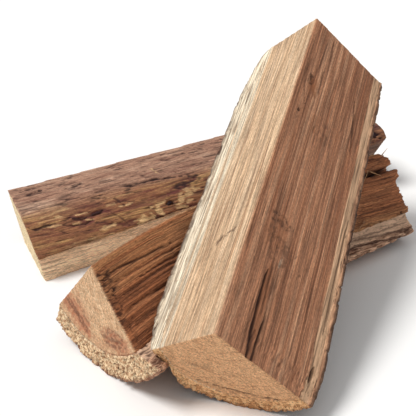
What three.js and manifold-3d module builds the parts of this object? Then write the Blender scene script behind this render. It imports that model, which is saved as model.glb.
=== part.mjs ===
// A stack of three split firewood logs, in millimetres, +Z up, standing on the floor.
// The near log and the back log lie on the floor in a narrow V, and the front log leans on the near
// log's ridge with the low edge of its sawn end on the floor.
import * as THREE from "three";
import { mergeVertices } from "three/addons/utils/BufferGeometryUtils.js";
import Module from "manifold-3d";

// Slices along each log, and the fineness of the arcs of its section.
const SLICES = 16;
const ARC_SEGMENTS = 12;
const PRESS_SEGMENTS = 40;
// Clearance kept between bark and wood, so that neighbouring solids never share a face.
const GAP = 0.4;
// Clearance kept where the front log has pressed its own round side into the near log's bark.
const PRESS_GAP = 0.8;
// How far right of its ridge the front log starts to bulge, and where it bulges in full.
const BULGE_FROM = 30;
const BULGE_FULL = 80;
// Corners closer than this are one corner when a solid is cut.
const MERGE = 0.001;

// Each log's section is drawn looking at its near sawn end: x to the right, y up. For the two quartered
// logs (0, 0) is the ridge where the split faces meet. Angles are in degrees, counterclockwise from x.
// A ring is a circle of the section: its centre and radius.
const FRONT_LOG = {
  length: 386,
  heading: 73.6,
  slope: 20.9,
  corner: [6, -258.5, 94.4],
  leftFace: 216.7,
  rightFace: 311.4,
  woodRing: { x: 15, y: -14, r: 73.5 },
  barkRing: { x: 15.3, y: -13.8, r: 87.1 },
  taper: 0.03,
  // The left corner is worn back at both ends, over these shares of the length and this much of its reach.
  cornerWear: 0.115,
  cornerWidth: 30,
  nearWear: 0.125,
  farWear: 0.19,
  // The right corner stands out a little, most of all behind the sawn end.
  rightBulge: 5,
  farCutTilt: 0.24,
};
const NEAR_LOG = {
  length: 378,
  heading: 43.3,
  corner: [-94.8, -178.7, 102],
  leftFace: 230.7,
  rightFace: 314.2,
  woodRing: { x: -3, y: 1, r: 82 },
  barkRing: { x: 1.5, y: -1, r: 101 },
  // The bark starts below the left face, and juts out of the right one as a ledge that dies out.
  barkStart: 235,
  barkLedge: 326.6,
  ledgeEnd: 0.12,
  taper: 0.167,
  swell: 0.035,
  ridgeBow: -26,
  bowAtFloor: 0.03,
  // The right face leans further out along the log, most of all at two thirds of its length (where the
  // sine of leanTurn times t peaks), and is hollow along its foot.
  rightLean: 5.5,
  leanTurn: 135,
  rightReach: 0.06,
  footHollow: 0.05,
};
// The back log's section has its origin on the floor, below the top of its round side.
const BACK_LOG = {
  length: 440,
  heading: 29.6,
  corner: [-208.7, 28.7, 0],
  top: 63,
  brow: { x: 88.5, y: 26 },
  toe: 90,
  heel: 7,
  roundSideRise: 11,
  innerBark: 2.6,
  farTopGrowth: 0.254,
  farBrowGrowth: 1.1,
  farNarrowing: 0.13,
  farUndercut: 40,
  sawTiltUp: 0.178,
  sawTiltAcross: -0.089,
};

const radians = THREE.MathUtils.degToRad;
const smoothstep = THREE.MathUtils.smoothstep;
// Both are 0 at the ends of a log and 1 at their peak, at its middle or a third of the way along.
const hump = (t) => 4 * t * (1 - t);
const earlyHump = (t) => 6.75 * t * (1 - t) ** 2;

// Where the ray from the ridge at a given angle leaves a ring.
function cornerOn(ring, angle) {
  const ray = new THREE.Vector2(Math.cos(radians(angle)), Math.sin(radians(angle)));
  const centre = new THREE.Vector2(ring.x, ring.y);
  const along = ray.dot(centre);
  const reach = along + Math.sqrt(along ** 2 - centre.lengthSq() + ring.r ** 2);
  return ray.multiplyScalar(reach);
}

// The angle at which a ring's centre sees a point of the section, from 0 to one full turn.
function seenFrom(ring, point) {
  const angle = Math.atan2(point.y - ring.y, point.x - ring.x);
  return THREE.MathUtils.euclideanModulo(angle, 2 * Math.PI);
}

// A wedge of wood: two split faces that meet at the ridge, and the round side under the bark.
function quarteredSection(log) {
  const { woodRing: ring, leftFace, rightFace } = log;
  const left = cornerOn(ring, leftFace);
  const right = cornerOn(ring, rightFace);
  const section = new THREE.Shape();
  section.moveTo(0, 0);
  section.lineTo(left.x, left.y);
  section.absarc(ring.x, ring.y, ring.r, seenFrom(ring, left), seenFrom(ring, right), false);
  section.closePath();
  return section;
}

// The bark of a quartered log. It ends flush with the split faces, or at a ledge that stands out of one.
function barkSection(log) {
  const { barkRing: outer, leftFace, rightFace } = log;
  const { barkStart = leftFace, barkLedge = rightFace } = log;
  const inner = { ...log.woodRing, r: log.woodRing.r + GAP };
  const angles = [
    seenFrom(outer, cornerOn(outer, barkStart)),
    seenFrom(outer, cornerOn(outer, barkLedge)),
    seenFrom(inner, cornerOn(inner, rightFace)),
    seenFrom(inner, cornerOn(inner, leftFace)),
  ];
  const section = new THREE.Shape();
  section.absarc(outer.x, outer.y, outer.r, angles[0], angles[1], false);
  section.absarc(inner.x, inner.y, inner.r, angles[2], angles[3], true);
  section.closePath();
  return section;
}

// The circle through the back log's top and brow that rises above the line between them, sunk by a depth.
function roundSide(depth) {
  const { top, brow, roundSideRise: rise } = BACK_LOG;
  const start = new THREE.Vector2(0, top);
  const end = new THREE.Vector2(brow.x, brow.y);
  const chord = end.clone().sub(start);
  const r = (chord.length() ** 2 / 4 + rise ** 2) / (2 * rise);
  const inward = new THREE.Vector2(chord.y, -chord.x).normalize();
  const centre = start.clone().lerp(end, 0.5).addScaledVector(inward, r - rise);
  return { x: centre.x, y: centre.y, r: r - depth };
}

// The two ends of the back log's round side, seen from its circle's centre.
function roundSideEnds() {
  const ring = roundSide(0);
  const { top, brow } = BACK_LOG;
  return [seenFrom(ring, { x: 0, y: top }), seenFrom(ring, brow)];
}

// The back log's wood: a round side over a flat bottom, with a low split face in front.
function backSection() {
  const ring = roundSide(BACK_LOG.innerBark + GAP);
  const [topAngle, browAngle] = roundSideEnds();
  const section = new THREE.Shape();
  section.moveTo(BACK_LOG.heel, 0);
  section.lineTo(BACK_LOG.toe, 0);
  section.absarc(ring.x, ring.y, ring.r, browAngle, topAngle, false);
  section.closePath();
  return section;
}

// The thin inner bark left on the back log's round side.
function innerBarkSection() {
  const outer = roundSide(0);
  const inner = roundSide(BACK_LOG.innerBark);
  const [topAngle, browAngle] = roundSideEnds();
  const section = new THREE.Shape();
  section.absarc(outer.x, outer.y, outer.r, browAngle, topAngle, false);
  section.absarc(inner.x, inner.y, inner.r, topAngle, browAngle, true);
  section.closePath();
  return section;
}

// The direction of a point of the section from the ridge, in degrees from 0 to 360.
function bearing(point) {
  const angle = THREE.MathUtils.radToDeg(Math.atan2(point.y, point.x));
  return THREE.MathUtils.euclideanModulo(angle, 360);
}

// How each log grew: t runs from 0 at its near end to 1 at its far end.
function growFront(point, t) {
  const log = FRONT_LOG;
  const byCorner = 1 - smoothstep(bearing(point), log.leftFace, log.leftFace + log.cornerWidth);
  const byEnd = Math.max(0, 1 - t / log.nearWear, (t - 1) / log.farWear + 1);
  const size = (1 - log.taper * t) * (1 - log.cornerWear * byCorner * byEnd);
  point.x *= size;
  point.y *= size;
  point.z += log.farCutTilt * Math.max(0, -point.x) * t;
  const outward = smoothstep(point.x, BULGE_FROM, BULGE_FULL);
  point.x += log.rightBulge * outward * Math.min(1, t * SLICES) * (1 - t);
}

function growNear(point, t) {
  const log = NEAR_LOG;
  const height = log.corner[2];
  let angle = bearing(point);
  const past = Math.max(0, angle - log.rightFace);
  const toRight = smoothstep(angle, (log.leftFace + log.rightFace) / 2, log.rightFace);
  const lean = log.rightLean * Math.sin(radians(log.leanTurn * t));
  angle -= past * smoothstep(t, 0, log.ledgeEnd) + lean * toRight;
  const right = toRight * (log.rightReach * t - log.footHollow * earlyHump(t));
  const reach = Math.hypot(point.x, point.y) * (1 - log.taper * t + right);
  const level = height * (1 - log.taper * t) + reach * Math.sin(radians(angle));
  const above = level * (1 + log.swell * hump(t));
  const bow = THREE.MathUtils.mapLinear(above, 0, height, log.bowAtFloor, 1);
  point.x = reach * Math.cos(radians(angle)) + log.ridgeBow * hump(t) * bow;
  point.y = above - height;
}

function growBack(point, t) {
  const across = point.x / BACK_LOG.brow.x;
  const belowBrow = Math.max(0, 1 - point.y / BACK_LOG.brow.y);
  const tilt = BACK_LOG.sawTiltUp * (BACK_LOG.top - point.y) + BACK_LOG.sawTiltAcross * point.x;
  point.z -= tilt * (1 - t);
  point.y *= 1 + t * (BACK_LOG.farTopGrowth + BACK_LOG.farBrowGrowth * across ** 4);
  point.x *= 1 - BACK_LOG.farNarrowing * t;
  point.x -= BACK_LOG.farUndercut * across * belowBrow * t;
}

// A section drawn out along the log from its near end at z = 0, then shaped as the log grew.
function hew(section, length, grow, curveSegments = ARC_SEGMENTS) {
  const solid = new THREE.ExtrudeGeometry(section, {
    depth: length,
    steps: SLICES,
    curveSegments,
    bevelEnabled: false,
  });
  solid.translate(0, 0, -length);
  const places = solid.getAttribute("position");
  const point = new THREE.Vector3();
  for (let i = 0; i < places.count; i += 1) {
    point.fromBufferAttribute(places, i);
    grow(point, -point.z / length);
    places.setXYZ(i, point.x, point.y, point.z);
  }
  solid.computeVertexNormals();
  return solid;
}

const wasm = await Module();
wasm.setup();

// A closed mesh as a solid for cutting, carried into another frame.
function solidOf(geometry, toFrame) {
  const bare = new THREE.BufferGeometry();
  bare.setAttribute("position", geometry.getAttribute("position").clone());
  const merged = mergeVertices(bare.applyMatrix4(toFrame), MERGE);
  const vertProperties = merged.getAttribute("position").array;
  const triVerts = new Uint32Array(merged.getIndex().array);
  return new wasm.Manifold(new wasm.Mesh({ numProp: 3, vertProperties, triVerts }));
}

// The solid as a mesh again.
function geometryOf(solid) {
  const { vertProperties, triVerts } = solid.getMesh();
  const geometry = new THREE.BufferGeometry();
  geometry.setAttribute("position", new THREE.BufferAttribute(vertProperties, 3));
  geometry.setIndex(new THREE.BufferAttribute(triVerts, 1));
  geometry.computeVertexNormals();
  return geometry;
}

// The near log's bark, less what the front log's round side has crushed where it leans on it.
function crushedBark(bark) {
  const { barkRing, length } = FRONT_LOG;
  const section = new THREE.Shape();
  section.absarc(barkRing.x, barkRing.y, barkRing.r + PRESS_GAP, 0, 2 * Math.PI, false);
  const presser = hew(section, length, growFront, PRESS_SEGMENTS);
  presser.translate(0, 0, PRESS_GAP);
  const toNearLog = logFrame(NEAR_LOG).invert().multiply(logFrame(FRONT_LOG));
  return geometryOf(solidOf(bark, new THREE.Matrix4()).subtract(solidOf(presser, toNearLog)));
}

function piece(name, geometry, color, roughness) {
  const material = new THREE.MeshStandardMaterial({ color, roughness, metalness: 0 });
  const mesh = new THREE.Mesh(geometry, material);
  mesh.name = name;
  return mesh;
}

// Where a log lies: its near corner in place, its far end turned to its heading and raised by its slope.
function logFrame({ corner, heading, slope = 0 }) {
  const turn = new THREE.Euler(radians(90 + slope), 0, radians(heading - 90), "ZXY");
  return new THREE.Matrix4().makeRotationFromEuler(turn).setPosition(...corner);
}

function layLog(log, pieces) {
  const group = new THREE.Group();
  group.add(...pieces);
  group.applyMatrix4(logFrame(log));
  return group;
}

function frontLog() {
  const { length } = FRONT_LOG;
  const wood = hew(quarteredSection(FRONT_LOG), length, growFront);
  const bark = hew(barkSection(FRONT_LOG), length, growFront);
  const pieces = [
    piece("front_log_wood", wood, 0xb9845c, 0.8),
    piece("front_log_bark", bark, 0xb98a55, 0.95),
  ];
  return layLog(FRONT_LOG, pieces);
}

function nearLog() {
  const { length } = NEAR_LOG;
  const wood = hew(quarteredSection(NEAR_LOG), length, growNear);
  const bark = crushedBark(hew(barkSection(NEAR_LOG), length, growNear));
  const pieces = [
    piece("near_log_wood", wood, 0x8a5636, 0.85),
    piece("near_log_bark", bark, 0xb5905c, 0.95),
  ];
  return layLog(NEAR_LOG, pieces);
}

function backLog() {
  const { length } = BACK_LOG;
  const wood = hew(backSection(), length, growBack);
  const bast = hew(innerBarkSection(), length, growBack);
  const pieces = [
    piece("back_log_wood", wood, 0xc09a72, 0.8),
    piece("back_log_inner_bark", bast, 0x7d5138, 0.9),
  ];
  return layLog(BACK_LOG, pieces);
}

// The three logs, with the origin under the middle of the stack, on the floor.
function firewoodStack() {
  const stack = new THREE.Group();
  stack.add(frontLog(), nearLog(), backLog());
  const box = new THREE.Box3().setFromObject(stack, true);
  const middle = box.getCenter(new THREE.Vector3());
  stack.position.set(-middle.x, -middle.y, -box.min.z);
  return stack;
}

export default firewoodStack();
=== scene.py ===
"""A firewood bundle: two split logs on the ground and a third that leans across them.

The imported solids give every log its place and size. Each piece is made again from its solid as a fine, even
mesh in its log's own frame, carved along the grain, marked with its cracks, knots and beetle galleries, and
dressed in a finish that follows the grain.
"""
import logging
import math
import random
from dataclasses import dataclass
from enum import Enum

import bmesh
import bpy
import numpy as np
from mathutils import Matrix, Quaternion, Vector, noise
from mathutils.bvhtree import BVHTree


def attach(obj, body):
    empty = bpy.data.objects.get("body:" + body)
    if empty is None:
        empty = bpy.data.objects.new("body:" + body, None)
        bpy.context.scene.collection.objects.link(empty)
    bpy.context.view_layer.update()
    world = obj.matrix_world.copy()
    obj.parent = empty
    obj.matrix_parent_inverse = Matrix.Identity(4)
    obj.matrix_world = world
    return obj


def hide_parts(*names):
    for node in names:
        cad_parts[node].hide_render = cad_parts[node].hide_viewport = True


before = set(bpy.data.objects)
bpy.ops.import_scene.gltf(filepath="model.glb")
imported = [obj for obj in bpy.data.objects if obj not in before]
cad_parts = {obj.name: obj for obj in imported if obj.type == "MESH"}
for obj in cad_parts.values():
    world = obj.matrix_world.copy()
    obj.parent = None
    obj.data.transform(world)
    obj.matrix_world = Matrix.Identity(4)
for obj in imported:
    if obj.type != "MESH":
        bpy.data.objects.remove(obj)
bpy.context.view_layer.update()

Colour = tuple[float, float, float]
Shades = tuple[Colour, Colour, Colour]
Swell = tuple[float, float, float]
Place = tuple[float, float]
Line = tuple[float, ...]
Marks = tuple["Vein | Patch", ...]

MM = 0.001
WELD = 1e-5
GRID = 1.5
SEAT_SWELL = 0.9
SEAT_REACH = (0.8, 1.8)
END_FACING = (0.55, 0.85)
LONG_FACING = 0.7
NEAR_FACING = -0.5
NEAR_END_DEPTH = 6
RIDGE_BLUR = (-1.5, 1.5)
SKIN_DEPTH = (0.72, 0.95)
FURROW_DEPTH = (0.6, 0.95)
CRUST_BREADTH = (3.6, 0.6)
CRUST_WAVER = 1.2
EDGE_SHOWN_FROM = (3, 9)
NOISE_SHIFT = (37, 91, 53)
GLOSS = 0.25
RIDGE_STEP = 8
STEP_EDGE = 0.3
VEIN_SWELL = 3
VEIN_CORE = 0.35
PATCH_REACH = 1.4
PATCH_FRAY = (1.7, 5, 1.7)
PATCH_BLUR = 0.35
PATCH_SPECKLE = (0.02, 0.3)

log = logging.getLogger("firewood")


# --- Places and shapes ---


def smooth(values: np.ndarray, low: float, high: float) -> np.ndarray:
    """A soft step from 0 at low to 1 at high."""
    share = np.clip((values - low) / (high - low), 0, 1)
    return share * share * (3 - 2 * share)


def wavering(points: np.ndarray, size: Swell, seed: float) -> np.ndarray:
    """Smooth noise at each point, from about -1 to 1.

    Args:
        points: Places in a log's own frame, in millimetres.
        size: How far apart its swells are to the right, along and up.
        seed: Moves the pattern.

    Returns:
        One value for each point.
    """
    scaled = points / np.array(size) + seed
    return np.array([noise.noise(place) for place in scaled.tolist()])


def linked(name: str, data: bpy.types.ID) -> bpy.types.Object:
    """A new object in the scene that shows the data."""
    made = bpy.data.objects.new(name, data)
    bpy.context.scene.collection.objects.link(made)
    return made


def rows_of(source: bpy.types.bpy_prop_collection, name: str) -> np.ndarray:
    """A vector of each item as rows of three numbers."""
    values = np.zeros(len(source) * 3, np.float32)
    source.foreach_get(name, values)
    return values.reshape(-1, 3).astype(float)


def carry(mesh: bpy.types.Mesh, name: str, values: np.ndarray) -> None:
    """Gives each point of a mesh its own value, or its own vector where the values are rows of three."""
    kind, field = ("FLOAT", "value") if values.ndim == 1 else ("FLOAT_VECTOR", "vector")
    made = mesh.attributes.new(name, kind, "POINT")
    made.data.foreach_set(field, values.astype(np.float32).ravel())


def level_at(line: Line, places: np.ndarray) -> np.ndarray:
    """The second number of a line of places where its first number is as given."""
    return np.interp(places, line[0::2], line[1::2])


@dataclass(frozen=True)
class LogFrame:
    """Where a log lies: its ridge's near corner in millimetres, its heading and its slope in degrees."""

    corner: tuple[float, float, float]
    heading: float
    slope: float = 0

    def matrix(self) -> Matrix:
        """From millimetres right, along and up in the log's own frame to metres in the shared one."""
        turn = Matrix.Rotation(math.radians(self.heading - 90), 4, "Z")
        tip = Matrix.Rotation(math.radians(self.slope), 4, "X")
        return Matrix.Translation(Vector(self.corner) * MM) @ turn @ tip @ Matrix.Scale(MM, 4)


class Stain(Enum):
    """What a mark does to the colour under it; the value is the attribute that carries it."""

    DARK = "dark"
    PALE = "pale"
    RED = "red"


class Face(Enum):
    """The faces that marks are laid out on, and what a mark's two numbers are there."""

    LEFT = "reach down from the ridge, way along the log"
    RIGHT = "reach down from the ridge, way along the log, on the other side"
    NEAR_END = "right, up"
    SKIN = "right and down together, way along the log"


class Form(Enum):
    """How a relief is shaped across the grain."""

    SOFT = "rolling"
    CREASE = "thin furrows"
    STEP = "flat strips with small steps between them"


@dataclass(frozen=True)
class Relief:
    """One scale of unevenness: its size across and along the grain and how deep it cuts, in millimetres."""

    across: float
    along: float
    depth: float
    form: Form = Form.SOFT
    seed: float = 0
    crease: float = 0.09
    steps: float = 3

    def cut(self, points: np.ndarray) -> np.ndarray:
        """How far each point is cut back, from 0 to the depth."""
        swell = wavering(points, (self.across, self.along, self.across), self.seed)
        if self.form is Form.CREASE:
            return self.depth * (1 - smooth(np.abs(swell), 0, self.crease))
        if self.form is Form.STEP:
            level = (swell * 0.5 + 0.5) * self.steps
            whole = np.floor(level)
            return self.depth * (whole + smooth(level - whole, 0, STEP_EDGE)) / self.steps
        return self.depth * np.clip(swell * 0.5 + 0.5, 0, 1)

    def mean(self) -> float:
        """How far the surface is raised first, so that the relief keeps it where it was on average."""
        return self.depth * (0.1 if self.form is Form.CREASE else 0.5)


@dataclass(frozen=True)
class Ridge:
    """The line of a log's ridge: how far right and up it is at places along the log."""

    along: np.ndarray
    right: np.ndarray
    up: np.ndarray

    def away(self, points: np.ndarray) -> np.ndarray:
        """The points with their place right and up counted from the ridge beside them."""
        moved = points.copy()
        moved[:, 0] -= np.interp(points[:, 1], self.along, self.right)
        moved[:, 2] -= np.interp(points[:, 1], self.along, self.up)
        return moved


STRAIGHT = Ridge(np.array([0, 1]), np.zeros(2), np.zeros(2))


class Blank:
    """One piece of a log as a fine, even mesh in its log's own frame, ready to be carved.

    Points are in millimetres: X to the log's right, Y along it from its near end, Z up from its ridge.
    """

    def __init__(self, node: str, place: LogFrame) -> None:
        """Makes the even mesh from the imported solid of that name."""
        self.node = node
        self.place = place
        self.mesh = self._even_mesh(GRID)
        self.ridge = STRAIGHT
        self.values: dict[str, np.ndarray] = {}
        self.points = rows_of(self.mesh.vertices, "co")
        self.start = self.points.copy()
        self.start_normals = rows_of(self.mesh.vertex_normals, "vector")
        for stain in Stain:
            self.values[stain.value] = np.zeros(len(self.points))

    def _even_mesh(self, grid: float) -> bpy.types.Mesh:
        """The solid's skin again, as small even faces about one grid wide."""
        work = bmesh.new()
        work.from_mesh(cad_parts[self.node].data)
        bmesh.ops.remove_doubles(work, verts=work.verts, dist=WELD)
        bmesh.ops.transform(work, matrix=self.place.matrix().inverted(), verts=work.verts)
        solid = bpy.data.meshes.new(self.node + "_solid")
        work.to_mesh(solid)
        work.free()
        holder = linked(self.node + "_holder", solid)
        remesh = holder.modifiers.new("even grid", "REMESH")
        remesh.mode = "VOXEL"
        remesh.voxel_size = grid
        remesh.use_smooth_shade = True
        seen = holder.evaluated_get(bpy.context.evaluated_depsgraph_get())
        mesh = bpy.data.meshes.new_from_object(seen)
        bpy.data.objects.remove(holder)
        bpy.data.meshes.remove(solid)
        return mesh

    def find_ridge(self) -> Ridge:
        """Takes the highest point of every short stretch as the ridge, and keeps it.

        Returns:
            The ridge, which a piece of the same log without one may share.
        """
        along = self.points[:, 1]
        count = int((along.max() - along.min()) / RIDGE_STEP)
        edges = np.linspace(along.min(), along.max() + WELD, count + 1)
        tops = []
        for low, high in zip(edges[:-1], edges[1:]):
            stretch = self.points[(along >= low) & (along < high)]
            tops.append(stretch[stretch[:, 2].argmax()])
        line = np.array(tops)
        self.ridge = Ridge(line[:, 1], line[:, 0], line[:, 2])
        return self.ridge

    def ends(self) -> np.ndarray:
        """1 on the two ends, 0 on the long faces."""
        return smooth(np.abs(self.start_normals[:, 1]), *END_FACING)

    def face_places(self, face: Face) -> tuple[np.ndarray, np.ndarray, np.ndarray]:
        """Where each point is on a face.

        Args:
            face: The face to lay out.

        Returns:
            The two numbers of each point there, and whether the point is on that face.
        """
        away = self.ridge.away(self.start)
        long_face = np.abs(self.start_normals[:, 1]) < LONG_FACING
        reach = np.hypot(away[:, 0], away[:, 2])
        if face is Face.LEFT:
            return reach, self.start[:, 1], (away[:, 0] < 0) & long_face
        if face is Face.RIGHT:
            return reach, self.start[:, 1], (away[:, 0] >= 0) & long_face
        if face is Face.NEAR_END:
            near = (self.start_normals[:, 1] < NEAR_FACING) & (self.start[:, 1] < NEAR_END_DEPTH)
            return self.start[:, 0], self.start[:, 2], near
        return self.start[:, 0] - self.start[:, 2], self.start[:, 1], long_face

    def sink(self, depth: np.ndarray) -> None:
        """Moves the points in from the uncarved surface by that much."""
        self.points -= self.start_normals * depth[:, None]

    def beyond_ridge(self) -> np.ndarray:
        """0 on the left of the ridge and 1 on its right, with a soft step between them."""
        return smooth(self.ridge.away(self.start)[:, 0], *RIDGE_BLUR)

    def carve(self, reliefs: tuple[Relief, ...], where: np.ndarray) -> None:
        """Cuts several reliefs into part of the piece; their furrows also give a mask of painted shade that
        the finishes darken them by.

        Args:
            reliefs: The scales of unevenness.
            where: From 0, left alone, to 1, cut in full, for each point.
        """
        grain = self.ridge.away(self.start)
        total = np.zeros(len(self.points))
        furrow_shade = self.values.setdefault("furrow_shade", np.zeros(len(self.points)))
        for relief in reliefs:
            cut = relief.cut(grain) * where
            total += cut - relief.mean() * where
            # the depth of each crease is kept as painted shade for its furrow
            if relief.form is Form.CREASE:
                furrow_shade[:] = np.maximum(furrow_shade, cut / relief.depth)
        self.sink(total)

    def seat(self, neighbour: str) -> None:
        """Swells the side that the bark covers until the two meet, so that no gap shows between them."""
        near = distance_to(neighbour, self.place, self.start)
        self.sink(-SEAT_SWELL * (1 - smooth(near, *SEAT_REACH)))

    def mark(self, marks: Marks) -> None:
        """Cuts and stains the piece with its own marks."""
        for mark in marks:
            amount = mark.amount(self)
            stain = self.values[mark.stain.value]
            stain[:] = np.maximum(stain, amount * mark.strength)
            if mark.depth:
                self.sink(amount * mark.depth)

    def finish(self, name: str, material: bpy.types.Material) -> bpy.types.Object:
        """Puts the carved piece in the shared frame in place of its solid.

        Args:
            name: The finished piece's name.
            material: What it is dressed in.

        Returns:
            The piece, at the origin, with its place in its mesh.
        """
        grain = self.ridge.away(self.start)
        self.mesh.name = name
        carry(self.mesh, "grain", grain)
        for title, values in self.values.items():
            carry(self.mesh, title, values)
        self.mesh.vertices.foreach_set("co", self.points.astype(np.float32).ravel())
        self.mesh.transform(self.place.matrix())
        placed = rows_of(self.mesh.vertices, "co")
        placed[:, 2] = np.maximum(placed[:, 2], 0)
        self.mesh.vertices.foreach_set("co", placed.astype(np.float32).ravel())
        self.mesh.polygons.foreach_set("use_smooth", np.ones(len(self.mesh.polygons), bool))
        self.mesh.materials.clear()
        self.mesh.materials.append(material)
        self.mesh.update()
        piece = linked(name, self.mesh)
        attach(piece, "root")
        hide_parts(self.node)
        log.info("%s: %d faces", name, len(self.mesh.polygons))
        return piece


def distance_to(node: str, place: LogFrame, points: np.ndarray) -> np.ndarray:
    """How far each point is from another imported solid.

    Args:
        node: The solid.
        place: The log whose frame the points are in.
        points: The points, in millimetres.

    Returns:
        One distance for each point, in millimetres.
    """
    work = bmesh.new()
    work.from_mesh(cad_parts[node].data)
    bmesh.ops.transform(work, matrix=place.matrix().inverted(), verts=work.verts)
    tree = BVHTree.FromBMesh(work)
    work.free()
    return np.array([tree.find_nearest(point)[3] for point in points.tolist()])


@dataclass(frozen=True)
class Vein:
    """A crack, a beetle gallery or a streak: a narrow mark along a line of places on a face.

    The line lists each place's two numbers in turn. The width is half the mark's breadth, ragged says how
    uneven its sides are, run how long their swells are along the log, and taper how thin its tips are.
    """

    face: Face
    line: Line
    width: float = 2
    depth: float = 0
    strength: float = 1
    stain: Stain = Stain.DARK
    ragged: float = 0.45
    taper: float = 0.7
    run: float = 18

    def amount(self, blank: Blank) -> np.ndarray:
        """How much of the mark each point of the piece gets, from 0 to 1."""
        across, along, there = blank.face_places(self.face)
        result = np.zeros(len(across))
        corners = np.array(self.line, float).reshape(-1, 2)
        low = corners.min(0) - 2 * self.width
        high = corners.max(0) + 2 * self.width
        near = there & (across > low[0]) & (across < high[0]) & (along > low[1]) & (along < high[1])
        chosen = np.flatnonzero(near)
        if not len(chosen):
            return result
        places = np.stack([across[chosen], along[chosen]], 1)
        distance = np.full(len(chosen), 1e9)
        way = np.zeros(len(chosen))
        parts = len(corners) - 1
        for index, (first, last) in enumerate(zip(corners[:-1], corners[1:])):
            step = last - first
            share = np.clip((places - first) @ step / (step @ step), 0, 1)
            apart = np.linalg.norm(places - first - share[:, None] * step, axis=1)
            way = np.where(apart < distance, (index + share) / parts, way)
            distance = np.minimum(distance, apart)
        wobble = wavering(blank.start[chosen], (VEIN_SWELL, self.run, VEIN_SWELL), self.width * 7.1)
        width = self.width * (1 - self.taper * np.abs(2 * way - 1) ** 3)
        distance = distance + self.ragged * wobble * self.width
        result[chosen] = 1 - smooth(distance, VEIN_CORE * width, width)
        return result


@dataclass(frozen=True)
class Patch:
    """A knot, a stain or a flaked place: an oval of a face that its stain fills, more or less evenly.

    The grit says how much of the stain is broken into speckles, and the grain how large they are.
    """

    face: Face
    centre: Place
    size: Place
    depth: float = 0
    strength: float = 1
    stain: Stain = Stain.DARK
    grit: float = 0
    grain: tuple[float, float] = (2.5, 6)
    edge: float = 0.5

    def amount(self, blank: Blank) -> np.ndarray:
        """How much of the patch each point of the piece gets, from 0 to 1."""
        across, along, there = blank.face_places(self.face)
        out = np.hypot((across - self.centre[0]) / self.size[0], (along - self.centre[1]) / self.size[1])
        chosen = np.flatnonzero(there & (out < PATCH_REACH))
        result = np.zeros(len(across))
        if not len(chosen):
            return result
        breadth, length = self.grain
        rough = wavering(blank.start[chosen], (breadth, length, breadth), sum(self.centre))
        fray = wavering(blank.start[chosen], PATCH_FRAY, self.centre[0] * 0.3)
        inside = 1 - smooth(out[chosen] + 0.4 * rough + 0.3 * fray, self.edge, self.edge + PATCH_BLUR)
        speckle = smooth(rough, *PATCH_SPECKLE)
        result[chosen] = inside * (1 - self.grit + self.grit * speckle)
        return result


def gallery(line: Line, width: float, depth: float, strength: float, stain: Stain = Stain.DARK) -> Vein:
    """A ragged mark on a log's skin: a beetle's gallery, a split or a stained band.

    Args:
        line: The two numbers of each place it runs through, in turn.
        width: Half its breadth.
        depth: How deep it is cut.
        strength: How strong its stain is.
        stain: Which stain.

    Returns:
        The mark.
    """
    return Vein(Face.SKIN, line, width, depth, strength, stain, ragged=1, run=5)


# --- Finishes ---

Socket = bpy.types.NodeSocket


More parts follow.
